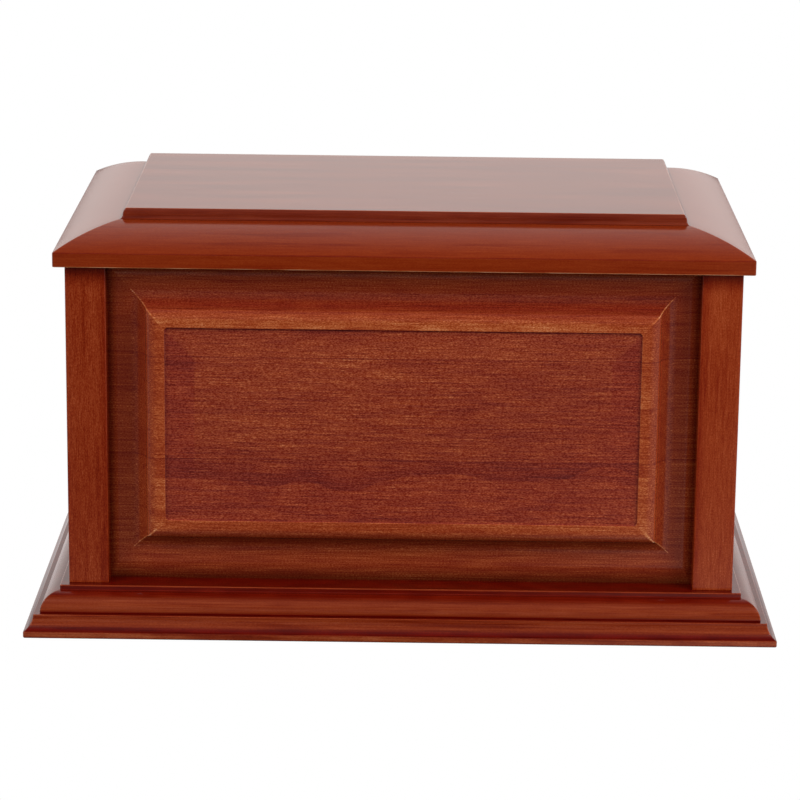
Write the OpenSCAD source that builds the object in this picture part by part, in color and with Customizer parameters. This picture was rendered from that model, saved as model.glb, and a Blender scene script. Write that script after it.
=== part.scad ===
// Wooden cremation urn box: a two-board moulded base, four corner posts, four raised
// panels, and a lift-off lid with a cushioned edge and a thin plate on top.
// Millimetres. +Z up, the front faces -Y, the origin is under the middle of the base.

/* [Box] */
// Width of the box over its corner posts
box_w = 258; // [180:1:360]
// Depth of the box over its corner posts
box_d = 162; // [120:1:260]
// Height of the posts and panels
box_h = 126.2; // [90:0.1:240]

/* [Posts] */
// Side of each square corner post, which is also the thickness of the walls
post_side = 15.5; // [12:0.1:22]

/* [Raised panels] */
// Height of the raised field above the flat ground round it
field_rise = 8; // [6:0.5:8.5]
// Distance from a post to the field, at the left and right of a panel
stile_margin = 19.3; // [16:0.1:26]
// Mean distance from the base and the lid to the field, at the bottom and top of a panel
rail_margin = 21.9; // [16:0.1:26]
// How far the field sits above the middle of the panel
field_lift = 0.8; // [0:0.1:2]
// Radius of the rounded nose that starts at the edge of the field
nose_r = 5.8; // [5:0.1:7]
// Depth below the field at which the nose ends in a crease
crease_drop = 1.8; // [1.2:0.1:2.2]
// Width of the whole moulding, from the edge of the field to the flat ground
ogee_w = 11; // [10.5:0.1:13]

/* [Name recess in the front] */
// Depth of the recess
recess_depth = 0.8; // [0.3:0.1:2]
// Flat rim of the field left round the recess
recess_rim = 2.9; // [1.5:0.1:8]
// Radius of the corners of the recess
recess_corner_r = 1.5; // [0.5:0.1:6]

/* [Lower base board] */
// How far the lower board stands out past the posts
plinth_reach = 16.4; // [15:0.1:24]
// Thickness of the lower board
plinth_h = 8.5; // [8:0.1:14]
// Height of its plain vertical edge
plinth_edge_h = 2.5; // [1:0.1:3.5]
// How far the hollow above that edge is cut in
cavetto_in = 3.6; // [2:0.1:4.5]

/* [Upper base board] */
// Width of the ledge between the hollow below and the round above
ledge_w = 2.3; // [1:0.1:3]
// Radius of the quarter-round edge
ovolo_r = 7.2; // [5:0.1:7.5]
// Height of the small step above the quarter-round
step_h = 1.9; // [0.8:0.1:4]

/* [Lid] */
// How far the lid stands out past the posts
lid_reach = 4.2; // [2:0.1:10]
// Height of the plain vertical edge of the lid
lid_edge_h = 5.6; // [3:0.1:10]
// Radius of the cushioned slope above that edge
cushion_r = 64; // [50:1:100]
// Height that the slope would reach if it ran on until it was level
cushion_rise = 9.4; // [7:0.1:12]
// Height of the lip under the lid that keeps it centred
lip_h = 3; // [1.5:0.5:6]
// Clearance between that lip and the walls
lip_gap = 0.6; // [0.3:0.1:1.5]

/* [Plate on the lid] */
// Distance from the edge of the lid to the foot of the plate
plate_inset = 23.7; // [18:0.1:30]
// Thickness of the plate
plate_h = 4; // [3.8:0.1:6]
// Height of the small hollow at its foot
foot_h = 1.5; // [1:0.1:2]
// How far that hollow is cut in
foot_in = 1; // [0.6:0.1:1]
// How far the round above the hollow leans in to the top
shoulder_in = 1.1; // [0.6:0.1:1.8]

/* [Hidden] */
$fn = 96;

// How far a cutting shape runs on past the face it cuts through.
over = 1;

plinth_w = box_w + 2 * plinth_reach;
plinth_d = box_d + 2 * plinth_reach;
ovolo_inset = cavetto_in + ledge_w;
ovolo_board_h = ovolo_r + step_h;
deck_z = plinth_h + ovolo_board_h;

front_panel_w = box_w - 2 * post_side;
side_panel_w = box_d - 2 * post_side;
ground_t = post_side - field_rise;

lid_z = deck_z + box_h;
lid_w = box_w + 2 * lid_reach;
lid_d = box_d + 2 * lid_reach;
// The slope levels out this far in from the edge of the lid.
cushion_run = sqrt(cushion_rise * (2 * cushion_r - cushion_rise));
// The plate sits on a flat at the height that the slope has reached at its foot.
plate_seat = lid_edge_h + cushion_rise - cushion_r
    + sqrt(pow(cushion_r, 2) - pow(max(cushion_run - plate_inset, 0), 2));

base_wood = "#7C2A14";
post_wood = "#84300F";
panel_wood = "#83341D";
lid_wood = "#8A3A24";
plate_wood = "#A06A5C";

// Radius of an arc that sets off square to run, and moves by run while it moves by rise.
function arc_r(run, rise) = (pow(run, 2) + pow(rise, 2)) / (2 * run);

// A board w by d with the child outline as its edge all round: what is left when the outline
// runs along the width and along the depth, so it meets itself in true mitres at the corners.
// The outline is drawn upright, centred, and $span wide.
module edged_board(w, d) {
    intersection() {
        rotate([90, 0, 0]) linear_extrude(d, center = true) let ($span = w) children();
        rotate([90, 0, 90]) linear_extrude(w, center = true) let ($span = d) children();
    }
}

// A rectangle standing on the X axis, centred on the Y axis.
module upright(w, h) {
    translate([-w / 2, 0]) square([w, h]);
}

module mirrored() {
    for (side = [0, 1]) mirror([side, 0]) children();
}

// What lies outside a circle about the origin, within a rectangle w by h that starts at x, y.
module outside_circle(r, x, y, w, h) {
    difference() {
        translate([x, y]) square([w, h]);
        circle(r);
    }
}

// Plain edge with a hollow cut above it.
module plinth_outline() {
    hollow_r = arc_r(cavetto_in, plinth_h - plinth_edge_h);
    difference() {
        upright($span, plinth_h);
        mirrored() translate([$span / 2 - cavetto_in + hollow_r, plinth_h]) circle(hollow_r);
    }
}

// Quarter-round with a small step above it.
module ovolo_outline() {
    difference() {
        upright($span, ovolo_board_h);
        mirrored() translate([$span / 2 - ovolo_r, 0])
            outside_circle(ovolo_r, 0, 0, ovolo_r + over, ovolo_board_h + over);
    }
}

// Plain edge, then the cushioned slope, cut level where the plate sits.
module lid_outline() {
    low = cushion_r - cushion_rise;
    difference() {
        upright($span, plate_seat);
        mirrored() translate([$span / 2 - cushion_run, lid_edge_h - low])
            outside_circle(cushion_r, 0, low, cushion_run + over, cushion_rise + over, $fn = 180);
    }
}

// Small hollow at the foot with a round shoulder above it.
module plate_outline() {
    foot_r = arc_r(foot_in, foot_h);
    shoulder_h = plate_h - foot_h;
    shoulder_r = arc_r(shoulder_in, shoulder_h);
    difference() {
        upright($span, plate_h);
        mirrored() translate([$span / 2 - foot_in, foot_h]) {
            translate([foot_r, 0]) circle(foot_r);
            translate([-shoulder_r, 0])
                outside_circle(shoulder_r, shoulder_r - shoulder_in, 0, shoulder_in + foot_in + over,
                    shoulder_h + over);
        }
    }
}

// Raised part of a panel: a hollow rising from the ground, a crease, and a rounded nose.
module ogee_outline() {
    crease_h = field_rise - crease_drop;
    crease_x = sqrt(crease_drop * (2 * nose_r - crease_drop));
    hollow_r = arc_r(crease_h, ogee_w - crease_x);
    difference() {
        upright($span, field_rise);
        mirrored() {
            translate([$span / 2, hollow_r]) circle(hollow_r);
            translate([$span / 2 - ogee_w, field_rise - nose_r])
                outside_circle(nose_r, 0, nose_r - crease_drop - over, ogee_w + over, crease_drop + 2 * over);
        }
    }
}

// A panel lying on its back, centred, with its raised field upwards.
module raised_panel(w) {
    field_w = w - 2 * stile_margin;
    field_h = box_h - 2 * rail_margin;
    translate([-w / 2, -box_h / 2, 0]) cube([w, box_h, ground_t]);
    translate([0, field_lift, ground_t]) edged_board(field_w + 2 * ogee_w, field_h + 2 * ogee_w) ogee_outline();
}

module rounded_slab(w, h, t, r) {
    translate([-w / 2 + r, -h / 2, 0]) cube([w - 2 * r, h, t]);
    translate([-w / 2, -h / 2 + r, 0]) cube([w, h - 2 * r, t]);
    for (x = [-1, 1], y = [-1, 1])
        translate([x * (w / 2 - r), y * (h / 2 - r), 0]) cylinder(h = t, r = r);
}

// Stands a panel up in the wall that lies wall_y behind the middle, turned about the middle.
module in_wall(turn, wall_y) {
    rotate([0, 0, turn]) translate([0, -wall_y, deck_z + box_h / 2]) rotate([90, 0, 0])
        translate([0, 0, -post_side]) children();
}

module lower_base_board() {
    color(base_wood) edged_board(plinth_w, plinth_d) plinth_outline();
}

module upper_base_board() {
    color(base_wood) translate([0, 0, plinth_h])
        edged_board(plinth_w - 2 * ovolo_inset, plinth_d - 2 * ovolo_inset) ovolo_outline();
}

// right and back are 0 or 1: which corner the post stands in.
module post(right, back) {
    color(post_wood)
        translate([right * (box_w - post_side) - box_w / 2, back * (box_d - post_side) - box_d / 2, deck_z])
        cube([post_side, post_side, box_h]);
}

module front_panel() {
    recess_w = front_panel_w - 2 * (stile_margin + recess_rim);
    recess_h = box_h - 2 * (rail_margin + recess_rim);
    color(panel_wood) in_wall(0, box_d / 2) difference() {
        raised_panel(front_panel_w);
        translate([0, field_lift, post_side - recess_depth])
            rounded_slab(recess_w, recess_h, 2 * recess_depth, recess_corner_r);
    }
}

module back_panel() {
    color(panel_wood) in_wall(180, box_d / 2) raised_panel(front_panel_w);
}

// turn faces the panel left (-90) or right (90).
module side_panel(turn) {
    color(panel_wood) in_wall(turn, box_w / 2) raised_panel(side_panel_w);
}

module lid_board() {
    lip_w = front_panel_w - 2 * lip_gap;
    lip_d = side_panel_w - 2 * lip_gap;
    color(lid_wood) translate([0, 0, lid_z]) {
        edged_board(lid_w, lid_d) lid_outline();
        translate([-lip_w / 2, -lip_d / 2, -lip_h]) cube([lip_w, lip_d, lip_h]);
    }
}

module lid_plate() {
    color(plate_wood) translate([0, 0, lid_z + plate_seat])
        edged_board(lid_w - 2 * plate_inset, lid_d - 2 * plate_inset) plate_outline();
}

lower_base_board();
upper_base_board();
post(0, 0);  // front_left_post
post(1, 0);  // front_right_post
post(0, 1);  // back_left_post
post(1, 1);  // back_right_post
front_panel();
back_panel();
side_panel(-90);  // left_panel
side_panel(90);  // right_panel
lid_board();
lid_plate();
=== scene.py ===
"""Cremation urn box in stained cherry: a moulded base, corner posts, raised panels and a lift-off lid."""

import math

import bpy
import numpy as np
from mathutils import Matrix, Vector


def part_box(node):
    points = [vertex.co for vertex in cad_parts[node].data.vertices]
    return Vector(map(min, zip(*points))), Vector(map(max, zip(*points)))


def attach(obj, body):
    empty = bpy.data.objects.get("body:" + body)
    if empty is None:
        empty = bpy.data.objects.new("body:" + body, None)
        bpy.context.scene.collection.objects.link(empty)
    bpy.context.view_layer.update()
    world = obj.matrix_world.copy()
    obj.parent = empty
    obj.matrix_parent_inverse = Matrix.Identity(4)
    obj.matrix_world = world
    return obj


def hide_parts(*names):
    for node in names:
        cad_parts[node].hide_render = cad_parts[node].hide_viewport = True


bl_info = {
    "name": "Cremation Urn Box",
    "version": (1, 0, 0),
    "blender": (4, 5, 0),
    "location": "3D View > Sidebar > Urn",
    "description": "Builds the stained and lacquered surfaces of a wooden urn box around its packed frame",
    "category": "Object",
}

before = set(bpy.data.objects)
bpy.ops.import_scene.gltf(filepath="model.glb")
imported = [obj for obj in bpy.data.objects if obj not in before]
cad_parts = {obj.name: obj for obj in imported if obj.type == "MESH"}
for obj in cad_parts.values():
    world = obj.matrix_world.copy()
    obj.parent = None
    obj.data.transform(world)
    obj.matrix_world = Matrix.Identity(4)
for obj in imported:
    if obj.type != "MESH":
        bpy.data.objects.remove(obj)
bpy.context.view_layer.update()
MM = 0.001

CORNERS = ("front_left", "front_right", "back_left", "back_right")
# Each panel, the turn in degrees that faces it outwards, and its grain direction.
WALLS = {"front": (0, "x"), "right": (90, "y"), "back": (180, "x"), "left": (-90, "y")}
# Turns that lay the wood pattern's long way, X, along each direction of grain.
GRAIN_TURNS = {"x": (0, 0, 0), "y": (0, 0, -math.pi / 2), "z": (0, math.pi / 2, 0)}


# ---------------------------------------------------------------- settings

def linear(hex_code):
    """Turns an sRGB hex colour such as #7C2A14 into linear red, green and blue."""
    parts = [int(hex_code[i:i + 2], 16) / 255 for i in (1, 3, 5)]
    return tuple(c / 12.92 if c <= 0.04045 else ((c + 0.055) / 1.055) ** 2.4 for c in parts)


def colour(label, about, hex_code):
    """A colour property with its default given as an sRGB hex code."""
    return bpy.props.FloatVectorProperty(
        name=label, description=about, subtype="COLOR", size=3, min=0, max=1, default=linear(hex_code))


def length(label, about, millimetres):
    """A length property in metres with its default given in millimetres."""
    return bpy.props.FloatProperty(
        name=label, description=about, unit="LENGTH", min=0, precision=5, default=millimetres * MM)


class UrnMouldingSettings(bpy.types.PropertyGroup):
    """Sizes of the mouldings, which repeat those of the construction."""
    arris: length("Arris radius", "Radius that sanding leaves on a sharp edge", 0.3)
    mitre: length("Mitre radius", "Radius that sanding leaves down a corner of a moulding", 0.6)
    plinth_edge: length("Plinth edge", "Height of the plain edge of the lower base board", 2.5)
    cavetto_in: length("Cavetto depth", "How far the hollow of the lower base board is cut in", 3.6)
    ovolo: length("Ovolo radius", "Radius of the quarter-round on the upper base board", 7.2)
    stile: length("Stile margin", "Distance from a post to the raised field", 19.3)
    rail: length("Rail margin", "Mean distance from the base and lid to the raised field", 21.9)
    lift: length("Field lift", "How far the raised field sits above the middle of its panel", 0.8)
    rise: length("Field rise", "Height of the raised field above its ground", 8.0)
    nose: length("Nose radius", "Radius of the rounded nose round the field", 5.8)
    crease: length("Crease depth", "Depth of the crease below the field", 1.8)
    ogee: length("Ogee width", "Width of the moulding from field to ground", 11.0)
    recess: length("Recess depth", "Depth of the name recess", 0.8)
    rim: length("Recess rim", "Flat rim left round the name recess", 2.9)
    recess_corner: length("Recess corner", "Radius of the corners of the name recess", 1.5)
    lid_edge: length("Lid edge", "Height of the plain edge of the lid", 5.6)
    cushion: length("Cushion radius", "Radius of the cushioned slope of the lid", 64.0)
    cushion_rise: length("Cushion rise", "Height that the slope would reach if it ran on until level", 9.4)
    lip: length("Lip height", "Height of the lip under the lid", 3.0)
    lip_gap: length("Lip gap", "Clearance between the lip and the walls", 0.6)
    foot: length("Plate foot height", "Height of the small hollow at the foot of the plate", 1.5)
    foot_in: length("Plate foot depth", "How far that hollow is cut in", 1.0)
    shoulder_in: length("Plate shoulder", "How far the round of the plate leans in", 1.1)


class UrnFinishSettings(bpy.types.PropertyGroup):
    """Stain and lacquer."""
    base_stain: colour("Base stain", "Stain of the base boards", "#6C2109")
    left_post_stain: colour("Left post stain", "Stain of the left posts", "#7C290E")
    right_post_stain: colour("Right post stain", "Stain of the right posts", "#832E10")
    panel_stain: colour("Panel stain", "Stain of the raised panels", "#86300D")
    lid_stain: colour("Lid stain", "Stain of the lid", "#752508")
    plate_stain: colour("Plate stain", "Stain of the plate on the lid", "#6A2410")
    lacquer_roughness: bpy.props.FloatProperty(
        name="Lacquer roughness", description="Roughness of the clear semi-gloss coat",
        min=0, max=1, default=0.16)


class UrnStageSettings(bpy.types.PropertyGroup):
    """Camera."""
    target: bpy.props.FloatVectorProperty(
        name="Target", description="Point that the camera looks at", unit="LENGTH", size=3,
        default=(-0.00097, -0.081, 0.09261))
    distance: bpy.props.FloatProperty(
        name="Distance", description="Distance from the camera to its target", unit="LENGTH", default=1.2468)
    azimuth: bpy.props.FloatProperty(
        name="Azimuth", description="Turn of the camera round the box", unit="ROTATION",
        default=math.radians(0.316))
    elevation: bpy.props.FloatProperty(
        name="Elevation", description="Height of the camera above the horizon", unit="ROTATION",
        default=math.radians(14.529))
    roll: bpy.props.FloatProperty(
        name="Roll", description="Lean of the camera", unit="ROTATION", default=math.radians(0.633))
    lens: bpy.props.FloatProperty(
        name="Lens", description="Focal length in millimetres", min=20, default=146.35)


# ---------------------------------------------------------------- outlines

# Points on the curve that rounds a corner of an outline.
CURVE_POINTS = 7
# Points round each corner of a rectangle, and along each of its sides.
CORNER_POINTS, SIDE_POINTS = 7, 12
# Depth of stain that sanding takes off down a mitre.
MITRE_SANDING = 0.12


def line(*points):
    """A run of straight lines."""
    return np.array(points, float)


def arc(centre, radius, start, end, count):
    """Points on a circle, from the start angle to the end angle in degrees."""
    turn = np.radians(np.linspace(start, end, count))
    return np.stack([centre[0] + radius * np.cos(turn), centre[1] + radius * np.sin(turn)], 1)


def arc_radius(run, rise):
    """Radius of an arc that sets off square to run and moves by run while it moves by rise."""
    return (run ** 2 + rise ** 2) / (2 * run)


def soften(runs, corners):
    """Joins runs of points into one outline, and rounds and shades the corners between them.

    Each corner is given as its radius in millimetres and the change in stain depth there: thinner where
    sanding wears an edge and deeper where stain pools, and also painted highlights on edges and painted shade
    in corners. It is cut back along both sides by its radius and bridged by a quadratic curve, with one more
    point on each side to keep the flats flat. Returns the outline and the change in stain depth at each
    point, which rises and falls over the curve as the square root of a half wave."""
    points = np.concatenate([runs[0]] + [run[1:] for run in runs[1:]])
    along = np.concatenate([[0], np.cumsum(np.hypot(*np.diff(points, axis=0).T))])
    middles = along[np.cumsum([len(run) - 1 for run in runs])[:-1]]

    def at(distance):
        return np.stack([np.interp(distance, along, points[:, i]) for i in (0, 1)], -1)

    keep = np.ones(len(points), bool)
    places, bends, depths = [], [], []
    blend = np.linspace(0, 1, CURVE_POINTS)
    for middle, (radius, change) in zip(middles, corners):
        radius = radius * MM
        start, tip, end = at(np.array([middle - radius, middle, middle + radius]))
        curve = (np.outer((1 - blend) ** 2, start) + np.outer(2 * blend * (1 - blend), tip)
                 + np.outer(blend ** 2, end))
        reach = 1.7 * radius
        places.append(np.concatenate([[middle - reach], middle + radius * (2 * blend - 1), [middle + reach]]))
        bends.append(np.concatenate([at(places[-1][:1]), curve, at(places[-1][-1:])]))
        depths.append(change * np.concatenate([[0], np.abs(np.sin(np.pi * blend)) ** 0.5, [0]]))
        keep &= np.abs(along - middle) > reach
    order = np.argsort(np.concatenate([along[keep]] + places), kind="stable")
    return (np.concatenate([points[keep]] + bends)[order],
            np.concatenate([np.zeros(keep.sum())] + depths)[order])


def square_path(per_corner, per_side):
    """A closed path round a rectangle with rounded corners, as multipliers of its sizes.

    A point is sides * (half size - corner radius) + turns * corner radius. Along a straight side
    both multipliers run evenly from one corner to the next. The third array is how far a point
    is round a corner: the sine of twice its angle, which is 1 in the middle and 0 on the sides."""
    quarter = np.linspace(0, np.pi / 2, per_corner)
    blend = np.linspace(0, 1, per_side + 2)[1:-1, None]
    angles = [quarter + k * np.pi / 2 for k in range(4)]
    turns = [np.stack([np.cos(angle), np.sin(angle)], 1) for angle in angles]
    sides = [np.tile(side, (per_corner, 1)) for side in ([1.0, 1.0], [-1.0, 1.0], [-1.0, -1.0], [1.0, -1.0])]
    paths = []
    for corners in (turns, sides):
        spans = [here[-1] * (1 - blend) + there[0] * blend
                 for here, there in zip(corners, corners[1:] + corners[:1])]
        paths.append(np.concatenate([part for pair in zip(corners, spans) for part in pair]))
    round_corner = np.tile(np.concatenate([np.sin(2 * quarter), np.zeros(per_side)]), 4)
    return paths[0], paths[1], round_corner


def ringed_mesh(name, halves, heights, corner, look, place, lift=0.0):
    """A closed solid made of nested rounded rectangles, one for each point of an outline.

    halves holds the half width and half depth of each rectangle, heights how high it lies, corner its corner
    radius and lift how far its middle is moved up. The first and last rectangle are filled in. look holds,
    for each rectangle, the change in stain depth as depth, what is taken from that at the corners as
    corner_wear_and_glint, what is added along the upper and the lower side as upper and lower, and how
    strongly its grain shows as fleck. These changes stand for real stain and wear and also carry painted
    highlights and painted shade. place turns the points into the frame."""
    turns, sides, round_corner = square_path(CORNER_POINTS, SIDE_POINTS)
    rings, steps = len(heights), len(turns)
    flat = sides[None] * (halves - corner[:, None])[:, None] + turns[None] * corner[:, None, None]
    flat[..., 1] += np.zeros(rings)[:, None] + np.reshape(lift, (-1, 1))
    points = place(np.concatenate([flat, np.repeat(heights[:, None, None], steps, 1)], 2).reshape(-1, 3))
    ring, step = np.meshgrid(np.arange(rings - 1), np.arange(steps), indexing="ij")
    here, there = ring * steps + step, ring * steps + (step + 1) % steps
    quads = np.stack([here, there, there + steps, here + steps], -1).reshape(-1, 4)
    caps = [list(range(steps))[::-1], list(range((rings - 1) * steps, rings * steps))]
    corners = points[quads]
    outward = np.einsum("ij,ij->i", corners[:, 0] - points.mean(0),
                        np.cross(corners[:, 2] - corners[:, 0], corners[:, 3] - corners[:, 1])).sum()
    if outward < 0:
        quads = quads[:, ::-1]
        caps = [cap[::-1] for cap in caps]
    mesh = bpy.data.meshes.new(name)
    mesh.from_pydata(points.tolist(), [], quads.tolist() + caps)
    depth, corner_wear_and_glint, upper, lower, fleck = (
        np.reshape(look.get(title, usual) + np.zeros(rings), (-1, 1))
        for title, usual in (("depth", 0), ("corner_wear_and_glint", 0), ("upper", 0), ("lower", 0), ("fleck", 1)))
    values = {"stain_change": depth - corner_wear_and_glint * round_corner + upper * np.maximum(turns[:, 1], 0)
              - lower * np.minimum(turns[:, 1], 0), "fleck": fleck + 0 * round_corner}
    for title, value in values.items():
        attribute = mesh.attributes.new(title, "FLOAT", "POINT")
        attribute.data.foreach_set("value", value.ravel().astype(np.float32))
    mesh.polygons.foreach_set("use_smooth", [True] * len(mesh.polygons))
    mesh.update()
    piece = bpy.data.objects.new(name, mesh)
    bpy.context.scene.collection.objects.link(piece)
    return piece


def edged_board(node, runs, corners, stain_and_shade_by_height=(), mitre=None):
    """A board of a node's width and depth with an outline carried all the way round its edge.

    The outline gives the distance in from the edge and the height over the node's lowest point, and runs from
    the underside, out round the edge, to the top. stain_and_shade_by_height gives heights in millimetres and
    the extra stain depth there, which changes evenly from one to the next; it holds real stain changes and
    also painted shade and painted contact shadow. mitre is the radius of the board's corners, seen from
    above."""
    low, high = (np.array(corner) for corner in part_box(node))
    outline, depth = soften(runs, corners)
    halves = (high - low)[:2] / 2 - outline[:, :1]
    centre = (low + high) / 2
    if stain_and_shade_by_height:
        depth = depth + np.interp(outline[:, 1] / MM, *zip(*stain_and_shade_by_height))
    corner = np.full(len(depth), mitre or bpy.context.scene.urn_moulding.mitre)
    # Sanding thins the stain down the mitres of the moulding, and not on the flats above and below it.
    corner_wear_and_glint = np.full(len(depth), MITRE_SANDING)
    corner_wear_and_glint[:2] = corner_wear_and_glint[-2:] = 0
    return ringed_mesh("urn_" + node, halves, outline[:, 1], corner, {"depth": depth, "corner_wear_and_glint": corner_wear_and_glint},
                       lambda points: points + [centre[0], centre[1], low[2]])


def finish_piece(piece, node, material):
    """Hides the CAD node, and gives the piece its body and its material."""
    piece.data.materials.append(material)
    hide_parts(node)
    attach(piece, "root")


# ---------------------------------------------------------------- wood

def add_node(tree, kind, settings=None, links=None, output=None):
    """Adds a node, sets its properties and inputs, links its inputs and returns one of its outputs.

    Inputs are named or numbered. stops are the positions and grey values of a colour ramp, and
    curve the points of a float curve. The output is the first one in use unless it is named."""
    node = tree.nodes.new(kind)
    for name, value in (settings or {}).items():
        if name == "stops":
            elements = node.color_ramp.elements
            for extra in range(len(value) - 2):
                elements.new(0.5)
            for element, (position, grey) in zip(elements, value):
                element.position, element.color = position, (grey, grey, grey, 1)
        elif name == "curve":
            points = node.mapping.curves[0].points
            for extra in range(len(value) - 2):
                points.new(0.5, 0.5)
            for point, place in zip(points, value):
                point.location = place
            node.mapping.update()
        elif isinstance(name, int) or name in node.inputs:
            node.inputs[name].default_value = value
        else:
            setattr(node, name, value)
    for name, source in (links or {}).items():
        tree.links.new(source, node.inputs[name])
    if output:
        return node.outputs[output]
    return next((socket for socket in node.outputs if socket.enabled), None)


# Each pattern of the wood: its width across the grain in millimetres, its stretch along the grain
# and its detail. Real flecks and pores are about 0.1 mm wide, too fine to show, so the flecks and
# the streaks are drawn coarser. Each wood sets the stretch of its own streaks.
PATTERNS = {"fleck": (0.26, 2.6, 0), "streak": (0.42, None, 1), "lines": (2.4, 22, 2),
            "blotch": (11, 7, 2), "uneven": (6, 1.5, 0), "ripple": (6, 3, 2)}
# A second filter over stain that pools, and over painted shade in corners, quirks and under edges, whose red
# outlasts its brown.
POOLED_STAIN_AND_SHADE = (*linear("#FF99AA"), 1)
WHITE = (*linear("#FFFFFF"), 1)


def cherry(name, stain, grain, shift, fleck=0.3, streak=0.4, streak_length=36, lines=0.15,
           blotch=0.15, pore_sheen=0.0, figure_and_shade=None):
    """Cherry, stained, smoothed with sandpaper and sprayed with clear semi-gloss lacquer.

    Stain works like a filter: the colour is the stain's colour to the power of its depth, so deep stain is
    dark and red and thin stain light and golden. The eye sees it thin on edges worn by sanding and deep where
    it pools in corners, and varied by fine flecks, long streaks along the grain, darker growth lines and slow
    blotches. Thinner and deeper stain also paint highlights on edges and shade in corners and under edges. A
    little white in the open pores is painted sheen. The lacquer's soft reflections grow strong at a low
    angle.

    grain is the axis that the grain runs along, and shift moves the board in its log, in metres. fleck,
    streak, lines and blotch are how much each changes the stain's depth, streak_length how many times longer
    than wide a streak is, and pore_sheen how much white painted sheen the open pores show. figure_and_shade
    adds what one board shows by itself, and painted shade on a post."""
    material = bpy.data.materials.new(name)
    material.use_nodes = True
    tree = material.node_tree
    tree.nodes.clear()
    place = add_node(tree, "ShaderNodeTexCoord", output="Object")
    log = add_node(tree, "ShaderNodeMapping", {"Rotation": GRAIN_TURNS[grain], "Location": shift},
                   {"Vector": place})
    if figure_and_shade:
        drawn, log = figure_and_shade(tree, place, log)
    patterns = {}
    for title, (width, stretch, detail) in PATTERNS.items():
        long = add_node(tree, "ShaderNodeMapping", {"Scale": (1 / (stretch or streak_length), 1, 1)},
                        {"Vector": log})
        patterns[title] = add_node(tree, "ShaderNodeTexNoise", {
            "Scale": 1 / (width * MM), "Detail": detail}, {"Vector": long})
    strength, change = (add_node(tree, "ShaderNodeAttribute", {"attribute_name": title}, output="Fac")
                        for title in ("fleck", "stain_change"))
    # Sanding, pooling and the painted highlights and shade at edges vary along an edge, in patches about 9 mm
    # long.
    uneven = add_node(tree, "ShaderNodeMapRange", {
        "From Min": 0.3, "From Max": 0.7, "To Min": 0.75, "To Max": 1.25}, {"Value": patterns["uneven"]})
    # Growth lines show only where their pattern is at its highest.
    grown = add_node(tree, "ShaderNodeMapRange", {
        "interpolation_type": "SMOOTHSTEP", "From Min": 0.54, "From Max": 0.72}, {"Value": patterns["lines"]})
    # The mean of each pattern is taken off, so that the mean depth stays near 1.
    fine = add_node(tree, "ShaderNodeMath", {
        "operation": "MULTIPLY_ADD", 1: fleck, 2: -(fleck + streak) / 2}, {0: patterns["fleck"]})
    fine = add_node(tree, "ShaderNodeMath", {"operation": "MULTIPLY_ADD", 1: streak},
                    {0: patterns["streak"], 2: fine})
    depth = add_node(tree, "ShaderNodeMath", {
        "operation": "MULTIPLY_ADD", 2: 1 - blotch / 2 - lines / 6}, {0: change, 1: uneven})
    for pattern, weight in ((grown, lines), (patterns["blotch"], blotch)):
        depth = add_node(tree, "ShaderNodeMath", {"operation": "MULTIPLY_ADD", 1: weight},
                         {0: pattern, 2: depth})
    depth = add_node(tree, "ShaderNodeMath", {"operation": "MULTIPLY_ADD"},
                     {0: fine, 1: strength, 2: depth})
    if figure_and_shade:
        depth = add_node(tree, "ShaderNodeMath", {"operation": "ADD"}, {0: depth, 1: drawn})
    wood = add_node(tree, "ShaderNodeGamma", {"Color": (*stain, 1)}, {"Gamma": depth})
    # Where the stain runs deepest, in corners, quirks and under edges, it turns redder: pooling stain and
    # painted shade.
    pool_and_shade = add_node(tree, "ShaderNodeMapRange", {"From Min": 0.1, "From Max": 0.3}, {"Value": change})
    wood = add_node(tree, "ShaderNodeMix", {
        "data_type": "RGBA", "blend_type": "MULTIPLY", 7: POOLED_STAIN_AND_SHADE}, {0: pool_and_shade, 6: wood})
    # Painted sheen: a little white in the open pores stands in for the lacquer's scattered reflection.
    painted_sheen = add_node(tree, "ShaderNodeMapRange", {
        "From Min": 0.5, "From Max": 1.0, "To Max": pore_sheen}, {"Value": strength})
    # The painted sheen shows most in the pale flecks and least in the dark ones.
    pale = add_node(tree, "ShaderNodeMapRange", {
        "From Min": 0.7, "From Max": 0.3, "To Min": 0.5, "To Max": 1.5}, {"Value": patterns["fleck"]})
    painted_sheen = add_node(tree, "ShaderNodeMath", {"operation": "MULTIPLY"}, {0: painted_sheen, 1: pale})
    wood = add_node(tree, "ShaderNodeMix", {"data_type": "RGBA", 7: WHITE}, {0: painted_sheen, 6: wood})
    # Sprayed lacquer settles in a faint ripple.
    ripple = add_node(tree, "ShaderNodeBump", {"Strength": 0.1, "Distance": 0.2 * MM},
                      {"Height": patterns["ripple"]})
    surface = add_node(tree, "ShaderNodeBsdfPrincipled", {
        "Roughness": 0.6, "IOR": 1.5, "Specular IOR Level": 0.0, "Coat Weight": 1.0,
        "Coat Roughness": bpy.context.scene.urn_finish.lacquer_roughness, "Coat IOR": 1.5},
        {"Base Color": wood, "Coat Normal": ripple})
    add_node(tree, "ShaderNodeOutputMaterial", links={"Surface": surface})
    return material


# The joints between the boards of a panel: the height of each over the ground, how much deeper the
# stain is over it than under it, and how far apart the two boards lie in the log, in metres.
JOINTS = ((68 * MM, 0.05, (0.31, 0, 0.083)), (108.4 * MM, 0.02, (0.17, 0.02, 0.041)))


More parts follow.
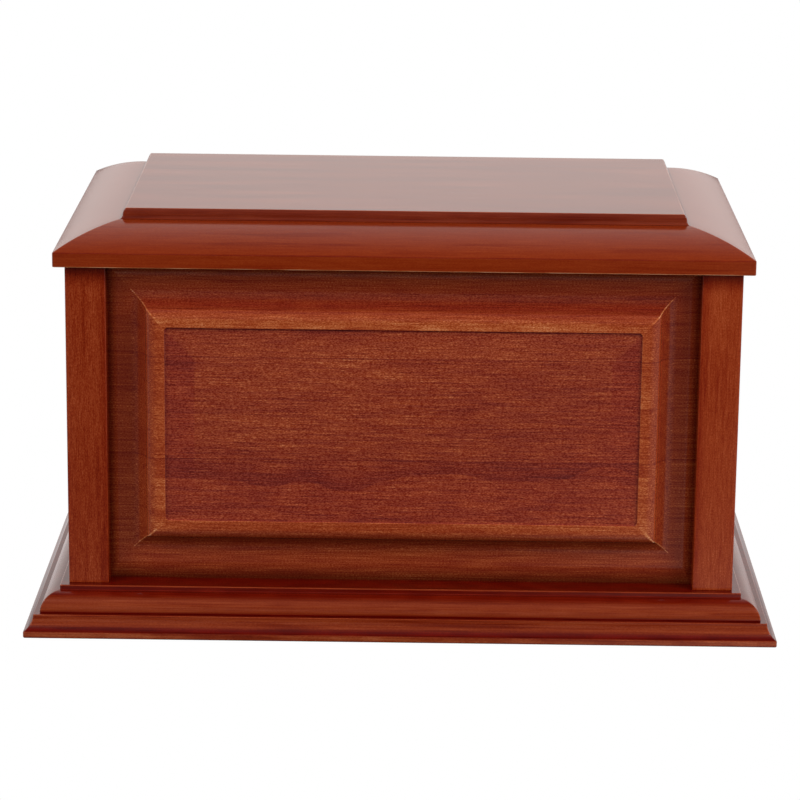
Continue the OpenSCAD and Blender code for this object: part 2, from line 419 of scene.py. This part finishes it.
def glued_boards(tree, place, log):
    """Three boards glued edge to edge, each from another part of the log, with thin dark joints."""
    height = add_node(tree, "ShaderNodeSeparateXYZ", links={"Vector": place}, output="Z")
    drawn = add_node(tree, "ShaderNodeValue")
    for joint, tone, shift in JOINTS:
        above = add_node(tree, "ShaderNodeMath", {"operation": "GREATER_THAN", 1: joint}, {0: height})
        moved = add_node(tree, "ShaderNodeVectorMath", {"operation": "SCALE", 0: shift}, {"Scale": above})
        log = add_node(tree, "ShaderNodeVectorMath", {"operation": "ADD"}, {0: log, 1: moved})
        gap = add_node(tree, "ShaderNodeMath", {"operation": "SUBTRACT", 1: joint}, {0: height})
        gap = add_node(tree, "ShaderNodeMath", {"operation": "ABSOLUTE"}, {0: gap})
        glue = add_node(tree, "ShaderNodeMapRange", {
            "From Min": 0.1 * MM, "From Max": 0.45 * MM, "To Min": 0.25, "To Max": 0.0}, {"Value": gap})
        part = add_node(tree, "ShaderNodeMath", {"operation": "MULTIPLY_ADD", 1: tone}, {0: above, 2: glue})
        drawn = add_node(tree, "ShaderNodeMath", {"operation": "ADD"}, {0: drawn, 1: part})
    return drawn, log


# Height over the ground of the wavy growth line in the front panel's lowest board, along the panel,
# both in millimetres.
WAVY_LINE = [(-110, 60.5), (-91, 60.3), (-66, 59.6), (-50, 57.2), (-39, 59.5), (-22, 55.8),
             (-8, 59.7), (20, 63.0), (32, 61.4), (54, 60.5), (70, 64.2), (79, 66.8),
             (91, 63.2), (110, 62.5)]
# Half the length that the line is drawn over, and the height and span of the band that holds it.
WAVE_HALF, WAVE_LOW, WAVE_SPAN = 110, 50, 20


def front_boards(tree, place, log):
    """The glued boards of the front panel, whose lowest has a dark wavy growth line.

    The wood is darker over the line than under it, and darkest right above it. This shows on the
    raised field and fades out at the field's ends."""
    drawn, log = glued_boards(tree, place, log)
    sideways, height = (add_node(tree, "ShaderNodeSeparateXYZ", links={"Vector": place}, output=axis)
                        for axis in "XZ")
    across = add_node(tree, "ShaderNodeMapRange", {
        "From Min": -WAVE_HALF * MM, "From Max": WAVE_HALF * MM}, {"Value": sideways})
    curve = [((x + WAVE_HALF) / (2 * WAVE_HALF), (z - WAVE_LOW) / WAVE_SPAN) for x, z in WAVY_LINE]
    wave = add_node(tree, "ShaderNodeFloatCurve", {"curve": curve}, {"Value": across})
    level = add_node(tree, "ShaderNodeMath", {
        "operation": "MULTIPLY_ADD", 1: WAVE_SPAN * MM, 2: WAVE_LOW * MM}, {0: wave})
    over = add_node(tree, "ShaderNodeMath", {"operation": "SUBTRACT"}, {0: height, 1: level})
    rising = add_node(tree, "ShaderNodeMapRange", {"From Min": -0.3 * MM, "From Max": 0.3 * MM},
                      {"Value": over})
    fading = add_node(tree, "ShaderNodeMapRange", {
        "From Min": 0, "From Max": 9 * MM, "To Min": 0.26, "To Max": 0.06}, {"Value": over})
    lowest = add_node(tree, "ShaderNodeMath", {"operation": "LESS_THAN", 1: JOINTS[0][0]}, {0: height})
    aside = add_node(tree, "ShaderNodeMath", {"operation": "ABSOLUTE"}, {0: sideways})
    inner = add_node(tree, "ShaderNodeMapRange", {
        "From Min": 93 * MM, "From Max": 97 * MM, "To Min": 1.0, "To Max": 0.0}, {"Value": aside})
    lowest = add_node(tree, "ShaderNodeMath", {"operation": "MULTIPLY"}, {0: lowest, 1: inner})
    band = add_node(tree, "ShaderNodeMath", {"operation": "MULTIPLY"}, {0: rising, 1: fading})
    drawn = add_node(tree, "ShaderNodeMath", {"operation": "MULTIPLY_ADD"}, {0: band, 1: lowest, 2: drawn})
    return drawn, log


def post_painted_shade(tree, place, log):
    """Painted shade on a post: deeper stain beside the panels and under the lid.

    It fades out over 4 mm from the edges where the panels meet the post, and over 9 mm from its top."""
    inner_x, inner_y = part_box("front_panel")[1].x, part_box("right_panel")[1].y
    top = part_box("front_left_post")[1].z
    away = add_node(tree, "ShaderNodeVectorMath", {"operation": "ABSOLUTE"}, {0: place})
    drawn = add_node(tree, "ShaderNodeValue")
    for axis, start, end, depth in (("X", inner_x + 4 * MM, inner_x, 0.16),
                                    ("Y", inner_y + 4 * MM, inner_y, 0.16),
                                    ("Z", top - 9 * MM, top, 0.35)):
        along = add_node(tree, "ShaderNodeSeparateXYZ", links={"Vector": away}, output=axis)
        near = add_node(tree, "ShaderNodeMapRange", {
            "interpolation_type": "SMOOTHSTEP", "From Min": start, "From Max": end, "To Max": depth},
                        {"Value": along})
        drawn = add_node(tree, "ShaderNodeMath", {"operation": "ADD"}, {0: drawn, 1: near})
    return drawn, log


# ---------------------------------------------------------------- pieces

class URN_OT_base(bpy.types.Operator):
    """Makes the two moulded boards of the base."""
    bl_idname = "urn.base"
    bl_label = "Base boards"

    def execute(self, context):
        sizes, look = context.scene.urn_moulding, context.scene.urn_finish
        # The flats run in this far from the edge before they are filled in.
        deep = 30 * MM
        low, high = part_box("lower_base_board")
        top = high.z - low.z
        hollow = arc_radius(sizes.cavetto_in, top - sizes.plinth_edge)
        sweep = math.degrees(math.asin((top - sizes.plinth_edge) / hollow))
        runs = [line((deep, 0), (0, 0)), line((0, 0), (0, sizes.plinth_edge)),
                arc((sizes.cavetto_in - hollow, top), hollow, -sweep, 0, 16),
                line((sizes.cavetto_in, top), (deep, top))]
        # Stain changes on the lower board: deeper at its bottom arris and foot, a painted contact shadow;
        # deeper at the foot of the hollow and on the top ledge under the upper board, painted shade; lighter
        # on the plain edge and the hollow's top arris.
        board = edged_board("lower_base_board", runs, [(0.7, 0.1), (0.3, 0), (0.3, -0.1)],
                            [(0, 0.1), (0.5, -0.2), (2.3, -0.2), (2.5, 0), (2.8, 0.3), (3.6, 0.3),
                             (4.8, -0.05), (8.46, -0.05), (8.5, 0.25)])
        finish_piece(board, "lower_base_board", cherry(
            "cherry_lower_base", look.base_stain, "x", (0.3, 0.11, 0.21),
            fleck=0.25, streak=0.45, streak_length=90, lines=0.2))

        low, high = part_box("upper_base_board")
        top = high.z - low.z
        runs = [line((deep, 0), (0, 0)), arc((sizes.ovolo, 0), sizes.ovolo, 180, 90, 20),
                line((sizes.ovolo, sizes.ovolo), (sizes.ovolo, top)), line((sizes.ovolo, top), (deep, top))]
        # Stain changes on the upper board: deeper at the foot of the ovolo, painted shade in the quirk;
        # lighter in its middle, a painted highlight; deeper over its upper part, the step and the deck,
        # painted shade; lighter on the deck's front arris, a painted highlight partly from sanding.
        board = edged_board("upper_base_board", runs, [(0.25, 0.1), (0.4, 0), (0.5, -0.4)],
                            [(0, 0.3), (0.3, 0.3), (0.8, -0.08), (4.8, -0.08), (6.3, 0.2), (9.1, 0.28)])
        finish_piece(board, "upper_base_board", cherry(
            "cherry_upper_base", look.base_stain, "x", (0.9, 0.25, 0.15),
            fleck=0.15, streak=0.35, streak_length=50, lines=0.1, blotch=0.12))
        return {"FINISHED"}


class URN_OT_posts(bpy.types.Operator):
    """Makes the four corner posts."""
    bl_idname = "urn.posts"
    bl_label = "Corner posts"

    def execute(self, context):
        look = context.scene.urn_finish
        for number, corner in enumerate(CORNERS):
            node = corner + "_post"
            low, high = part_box(node)
            top, deep = high.z - low.z, (high.x - low.x) / 4
            runs = [line((deep, 0), (0, 0)), line((0, 0), (0, top)), line((0, top), (deep, top))]
            post = edged_board(node, runs, [(0.3, 0), (0.3, 0)], mitre=0.5 * MM)
            stain = look.left_post_stain if "left" in corner else look.right_post_stain
            finish_piece(post, node, cherry(
                "cherry_" + node, stain, "z", (0.4 * number, 0.07 + 0.03 * number, 0.06),
                fleck=0.5, streak=0.45, streak_length=14, lines=0.15, blotch=0.2, figure_and_shade=post_painted_shade))
        return {"FINISHED"}


def wall_frame(wall):
    """A panel's width, height and thickness, and a function that stands it up in its wall.

    The function takes points with x along the panel, y up from its middle and z out of its back
    face, and turns them about the middle of the box."""
    low, high = (np.array(corner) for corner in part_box(wall + "_panel"))
    size, centre = high - low, (low + high) / 2
    turn = math.radians(WALLS[wall][0])
    facing = np.array([round(math.sin(turn)), -round(math.cos(turn)), 0.0])
    across = np.array([-facing[1], facing[0], 0.0])
    width, thickness = abs(size @ across), abs(size @ facing)
    return width, size[2], thickness, lambda points: (
        centre + points[:, :1] * across + points[:, 1:2] * [0, 0, 1]
        + (points[:, 2:] - thickness / 2) * facing)


def crease_distance(sizes):
    """How far past the field the crease lies, where the nose's arc has dropped to the crease."""
    return math.sqrt(sizes.crease * (2 * sizes.nose - sizes.crease))


def panel_outline(sizes, top, recessed):
    """Outline of a raised panel from its middle outwards, as distance past the field and height.

    The nose is an arc tangent to the field, and the hollow an arc that starts at the crease and ends
    tangent to the ground."""
    ground, crease_x = top - sizes.rise, crease_distance(sizes)
    nose_end = math.degrees(math.asin((sizes.nose - sizes.crease) / sizes.nose))
    drop = sizes.rise - sizes.crease
    hollow = arc_radius(drop, sizes.ogee - crease_x)
    hollow_start = math.degrees(math.acos(min(1, (sizes.ogee - crease_x) / hollow)))
    # The outline starts 14 mm inside the field's edge and ends 4 mm out on the ground.
    inside, outside, floor = -14 * MM, sizes.ogee + 4 * MM, top - sizes.recess
    nose = arc((0, top - sizes.nose), sizes.nose, 90, nose_end, 22)
    cove = np.concatenate([arc((sizes.ogee, ground + hollow), hollow, -180 + hollow_start, -90, 24),
                           line((outside, ground))])
    # Stain changes at the corners: the crease between nose and cove a little lighter; in the recess, deeper
    # in its inner corner, painted shade partly from pooling, and lighter on its edge, a painted highlight
    # partly from sanding.
    if not recessed:
        return [np.concatenate([line((inside, top)), nose]), cove], [(0.5, -0.05)]
    return ([line((inside, floor), (-sizes.rim, floor)), line((-sizes.rim, floor), (-sizes.rim, top)),
             np.concatenate([line((-sizes.rim, top)), nose]), cove],
            [(0.35, 0.1), (0.25, -0.1), (0.5, -0.05)])


class URN_OT_panels(bpy.types.Operator):
    """Makes the four raised panels, with the name recess in the front one."""
    bl_idname = "urn.panels"
    bl_label = "Raised panels"

    def execute(self, context):
        sizes, look = context.scene.urn_moulding, context.scene.urn_finish
        rim, crease_x = sizes.rim, crease_distance(sizes)
        # The rest of the panel's front, its edge and its back count as this far past the field.
        beyond = 18 * MM
        for number, wall in enumerate(WALLS):
            width, height, thickness, place = wall_frame(wall)
            runs, corners = panel_outline(sizes, thickness, wall == "front")
            outline, depth = soften(runs, corners)
            field = np.array([width / 2 - sizes.stile, height / 2 - sizes.rail])
            halves = np.concatenate([field + outline[:, :1], [[width / 2, height / 2]] * 2])
            lift = np.append(np.full(len(outline), sizes.lift), [0, 0])
            heights = np.concatenate([outline[:, 1], [outline[-1, 1], 0]])
            past = np.append(outline[:, 0], [beyond] * 2)
            # The stain is deep in the middle of the field, thin on the rim and the nose where they are worn,
            # and deeper just past the crease, painted shade in the crease.
            depth = np.append(depth, [0, 0]) + np.interp(
                past, [-rim - 0.05 * MM, -rim, 0, crease_x, crease_x + 1 * MM, sizes.ogee],
                [0.14, -0.15, -0.12, 0, 0.08, 0.04])
            # The stain is deeper along the nose's lower side, painted shade where the nose faces down, with
            # less sanding there too; the mitres are thinned most of all, by sanding and as a painted
            # highlight.
            lower = np.interp(past, [-rim - 0.05 * MM, -rim, crease_x, crease_x + 1 * MM],
                              [0, 0.08, 0.08, 0])
            corner_wear_and_glint = np.interp(past, [-rim, 0, crease_x, sizes.ogee - 1 * MM, sizes.ogee],
                               [0, 0.15, 0.55, 0.45, 0])
            fleck = np.where(past < -rim, 1.0, 0.75) if wall == "front" else 0.8
            # Stain runs deeper along the recess's upper edge: painted shadow under that edge, partly pooling
            # stain. Along its upper side the nose is lighter, a painted highlight partly from sanding, the
            # crease is deeper, painted shade, and the ground under the lid is lighter, painted light against
            # the lid's shadow.
            upper = 0.8 * np.clip(1 - np.abs(past + rim + 0.15 * MM) / (0.5 * MM), 0, 1) * (wall == "front")
            upper = upper + np.interp(past, [-rim, 0, crease_x, sizes.ogee, 16 * MM],
                                      [-0.15, -0.12, 0.08, 0, -0.1])
            corner = np.interp(past, [-rim - 0.1 * MM, -rim + 0.1 * MM, 0, crease_x, sizes.ogee],
                               [sizes.recess_corner, sizes.recess_corner, 0.9 * MM, 0.5 * MM, 0.3 * MM])
            # The panel's own corners, which meet the posts, stay sharp.
            corner[-2:] = 0.01 * MM
            shades = {"depth": depth, "corner_wear_and_glint": corner_wear_and_glint, "upper": upper, "lower": lower, "fleck": fleck}
            panel = ringed_mesh("urn_" + wall + "_panel", halves, heights, corner, shades, place, lift)
            finish_piece(panel, wall + "_panel", cherry(
                "cherry_" + wall + "_panel", look.panel_stain, WALLS[wall][1],
                (0.5 * number, 0.3, 0.05 + 0.07 * number), fleck=1.0, streak=0.95, blotch=0.25,
                pore_sheen=0.012, figure_and_shade=front_boards if wall == "front" else glued_boards))
        return {"FINISHED"}


class URN_OT_lid(bpy.types.Operator):
    """Makes the lid and the plate on top of it, where they rest."""
    bl_idname = "urn.lid"
    bl_label = "Lid and plate"

    def execute(self, context):
        sizes, look = context.scene.urn_moulding, context.scene.urn_finish
        low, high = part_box("lid_board")
        lip_in = (high.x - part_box("back_panel")[1].x) + sizes.lip_gap
        under, top = sizes.lip, high.z - low.z
        run_in = math.sqrt(sizes.cushion_rise * (2 * sizes.cushion - sizes.cushion_rise))
        centre = (run_in, under + sizes.lid_edge + sizes.cushion_rise - sizes.cushion)
        start = math.degrees(math.acos(run_in / sizes.cushion))
        end = math.degrees(math.asin((top - centre[1]) / sizes.cushion))
        seat_in = run_in - sizes.cushion * math.cos(math.radians(end))
        deep = 40 * MM
        runs = [line((deep, 0), (lip_in, 0)), line((lip_in, 0), (lip_in, under)),
                line((lip_in, under), (0, under)), line((0, under), (0, under + sizes.lid_edge)),
                arc(centre, sizes.cushion, 180 - start, 180 - end, 24), line((seat_in, top), (deep, top))]
        # Stain changes on the lid: lighter on the lower front edge, a painted highlight partly from wear;
        # deeper at the top of the edge; deeper round the seat of the plate, painted shade partly from
        # pooling.
        lid = edged_board("lid_board", runs, [(0.3, 0), (0.3, 0), (0.45, -0.6), (0.35, 0.15), (0.5, 0.35)])
        finish_piece(lid, "lid_board", cherry(
            "cherry_lid", look.lid_stain, "x", (1.3, 0.4, 0.24),
            fleck=0.2, streak=0.22, streak_length=25, lines=0.1))

        low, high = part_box("lid_plate")
        top = high.z - low.z
        foot = arc_radius(sizes.foot_in, sizes.foot)
        shoulder = arc_radius(sizes.shoulder_in, top - sizes.foot)
        foot_sweep = math.degrees(math.asin(sizes.foot / foot))
        lean = math.degrees(math.asin((top - sizes.foot) / shoulder))
        deep = 20 * MM
        hollow = arc((sizes.foot_in - foot, sizes.foot), foot, -foot_sweep, 0, 8)
        bulge = arc((sizes.foot_in + shoulder, sizes.foot), shoulder, 180, 180 - lean, 10)
        runs = [line((deep, 0), (0, 0)), np.concatenate([hollow, bulge[1:]]),
                line((sizes.foot_in + sizes.shoulder_in, top), (deep, top))]
        # Stain changes on the plate: a little lighter at the foot's outer edge; lighter on the top arris, a
        # painted highlight; a little deeper over its edge.
        plate = edged_board("lid_plate", runs, [(0.2, -0.1), (0.3, -0.3)],
                            [(0, 0.1), (3.6, 0.1), (4, 0)], mitre=0.5 * MM)
        finish_piece(plate, "lid_plate", cherry(
            "cherry_plate", look.plate_stain, "x", (1.7, 0.2, 0.32),
            fleck=0.1, streak=0.3, streak_length=40, blotch=0.55))
        return {"FINISHED"}


# ---------------------------------------------------------------- stage

# Distance of a light from the middle of the box, and the height of that middle, in metres.
LIGHT_DISTANCE, LIGHT_AIM = 1.6, 0.08


def softbox(name, direction, size, power, mirrored=True):
    """A rectangular light on a stand, aimed at the middle of the box.

    direction gives its turn from the front and its height, both in degrees. An unmirrored one
    lights the wood but isn't reflected in the lacquer."""
    light = bpy.data.lights.new(name, "AREA")
    light.shape, light.size, light.size_y, light.energy = "RECTANGLE", size[0], size[1], power
    turn, height = np.radians(direction)
    toward = Vector((math.sin(turn) * math.cos(height), -math.cos(turn) * math.cos(height),
                     math.sin(height)))
    lamp = bpy.data.objects.new(name, light)
    lamp.location = Vector((0, 0, LIGHT_AIM)) + LIGHT_DISTANCE * toward
    lamp.rotation_euler = toward.to_track_quat("Z", "Y").to_euler()
    lamp.visible_glossy = mirrored
    bpy.context.scene.collection.objects.link(lamp)


# Brightness of the room by its angle over the box, in degrees from the front horizon over the top
# to the back one: a dim room, a soft lamp high in front, and a white wall behind.
ROOM = [(0, 0.01), (25, 0.05), (38, 0.11), (50, 0.2), (66, 0.22), (80, 0.15), (94, 0.03),
        (110, 0.1), (124, 0.38), (142, 0.56), (158, 0.85), (165, 0.93), (172, 1.0), (180, 1.05)]
# Brightness of the table as the lacquer mirrors it, by the turn from straight behind the box over its
# left, its front and its right to straight behind again: dark in front, where no light falls.
TABLE = [(0, 0.9), (60, 0.95), (90, 0.75), (120, 0.16), (160, 0.05), (180, 0.02), (200, 0.08),
         (225, 0.35), (270, 0.45), (300, 0.8), (360, 0.9)]


class URN_OT_stage(bpy.types.Operator):
    """Sets up the pale floor, the soft lights and the camera."""
    bl_idname = "urn.stage"
    bl_label = "Stage"

    def execute(self, context):
        scene, stage = context.scene, context.scene.urn_stage
        scene.view_settings.view_transform = "Standard"
        world = bpy.data.worlds.new("studio")
        scene.world = world
        world.use_nodes = True
        tree = world.node_tree
        tree.nodes.clear()
        place = add_node(tree, "ShaderNodeTexCoord", output="Generated")
        away, up = (add_node(tree, "ShaderNodeSeparateXYZ", links={"Vector": place}, output=axis)
                    for axis in "YZ")
        front = add_node(tree, "ShaderNodeMath", {"operation": "MULTIPLY", 1: -1.0}, {0: away})
        angle = add_node(tree, "ShaderNodeMath", {"operation": "ARCTAN2"}, {0: up, 1: front})
        turn = add_node(tree, "ShaderNodeMath", {"operation": "DIVIDE", 1: math.pi}, {0: angle})
        stops = [(degrees / 180, grey) for degrees, grey in ROOM]
        room = add_node(tree, "ShaderNodeValToRGB", {"stops": stops}, {"Fac": turn})
        # The room's light is a little warm.
        room = add_node(tree, "ShaderNodeMix", {
            "data_type": "RGBA", "blend_type": "MULTIPLY", 0: 1.0, 7: (*linear("#FFFBF7"), 1)}, {6: room})
        # The camera sees a plain white backdrop.
        seen = add_node(tree, "ShaderNodeLightPath", output="Is Camera Ray")
        shade = add_node(tree, "ShaderNodeMix", {"data_type": "RGBA", 7: WHITE}, {0: seen, 6: room})
        sky = add_node(tree, "ShaderNodeBackground", {"Strength": 1.0}, {"Color": shade})
        add_node(tree, "ShaderNodeOutputWorld", links={"Surface": sky})

        # The floor glows rather than being lit: the camera sees it as plain white, and the lacquer mirrors
        # the glow of the table below and is lit by it.
        mesh = bpy.data.meshes.new("floor")
        reach = 3.0  # metres to each side of the box
        mesh.from_pydata([(-reach, -reach, 0), (reach, -reach, 0), (reach, reach, 0), (-reach, reach, 0)],
                         [], [(0, 1, 2, 3)])
        floor = bpy.data.objects.new("floor", mesh)
        scene.collection.objects.link(floor)
        paper = bpy.data.materials.new("white_paper")
        paper.use_nodes = True
        tree = paper.node_tree
        tree.nodes.clear()
        place = add_node(tree, "ShaderNodeTexCoord", output="Object")
        across, away = (add_node(tree, "ShaderNodeSeparateXYZ", links={"Vector": place}, output=axis)
                        for axis in "XY")
        front = add_node(tree, "ShaderNodeMath", {"operation": "MULTIPLY", 1: -1.0}, {0: away})
        angle = add_node(tree, "ShaderNodeMath", {"operation": "ARCTAN2"}, {0: across, 1: front})
        turn = add_node(tree, "ShaderNodeMapRange", {"From Min": -math.pi, "From Max": math.pi},
                        {"Value": angle})
        stops = [(degrees / 360, grey) for degrees, grey in TABLE]
        table = add_node(tree, "ShaderNodeValToRGB", {"stops": stops}, {"Fac": turn})
        seen = add_node(tree, "ShaderNodeLightPath", output="Is Camera Ray")
        shade = add_node(tree, "ShaderNodeMix", {"data_type": "RGBA", 7: WHITE}, {0: seen, 6: table})
        glow = add_node(tree, "ShaderNodeEmission", {"Strength": 1.0}, {"Color": shade})
        add_node(tree, "ShaderNodeOutputMaterial", links={"Surface": glow})
        mesh.materials.append(paper)

        softbox("left_box", (-56, 28), (0.9, 0.9), 13.5, mirrored=False)
        softbox("right_box", (56, 28), (0.9, 0.9), 20.2, mirrored=False)
        # Small lamps high up that shine in the rounded mitres.
        softbox("left_glint", (-44, 50), (0.28, 0.28), 1.5)
        softbox("right_glint", (44, 50), (0.28, 0.28), 1.5)
        softbox("front_fill", (0, 14), (1.2, 0.6), 6, mirrored=False)
        softbox("back_fill", (180, 38), (1.2, 0.8), 20, mirrored=False)

        camera = bpy.data.objects.new("camera", bpy.data.cameras.new("camera"))
        camera.data.lens = stage.lens
        back = Vector((math.sin(stage.azimuth) * math.cos(stage.elevation),
                       -math.cos(stage.azimuth) * math.cos(stage.elevation), math.sin(stage.elevation)))
        turn = back.to_track_quat("Z", "Y").to_matrix() @ Matrix.Rotation(stage.roll, 3, "Z")
        eye = Vector(stage.target) + back * stage.distance
        camera.matrix_world = Matrix.Translation(eye) @ turn.to_4x4()
        scene.collection.objects.link(camera)
        scene.camera = camera
        return {"FINISHED"}


# ---------------------------------------------------------------- panel and registration

OPERATORS = (URN_OT_base, URN_OT_posts, URN_OT_panels, URN_OT_lid, URN_OT_stage)
SETTINGS = {"urn_moulding": UrnMouldingSettings, "urn_finish": UrnFinishSettings,
            "urn_stage": UrnStageSettings}


class URN_PT_sidebar(bpy.types.Panel):
    """Lists the steps that build the urn box."""
    bl_idname = "URN_PT_sidebar"
    bl_label = "Urn box"
    bl_space_type = "VIEW_3D"
    bl_region_type = "UI"
    bl_category = "Urn"

    def draw(self, context):
        for operator in OPERATORS:
            self.layout.operator(operator.bl_idname)


def register():
    """Registers the settings, the operators and the sidebar panel."""
    for name, group in SETTINGS.items():
        bpy.utils.register_class(group)
        setattr(bpy.types.Scene, name, bpy.props.PointerProperty(type=group))
    for group in (*OPERATORS, URN_PT_sidebar):
        bpy.utils.register_class(group)


def unregister():
    """Takes away what register adds."""
    for group in (URN_PT_sidebar, *reversed(OPERATORS)):
        bpy.utils.unregister_class(group)
    for name, group in SETTINGS.items():
        delattr(bpy.types.Scene, name)
        bpy.utils.unregister_class(group)


def main():
    """Builds every piece and the stage."""
    register()
    bpy.ops.urn.base()
    bpy.ops.urn.posts()
    bpy.ops.urn.panels()
    bpy.ops.urn.lid()
    bpy.ops.urn.stage()


if __name__ == "__main__":
    main()
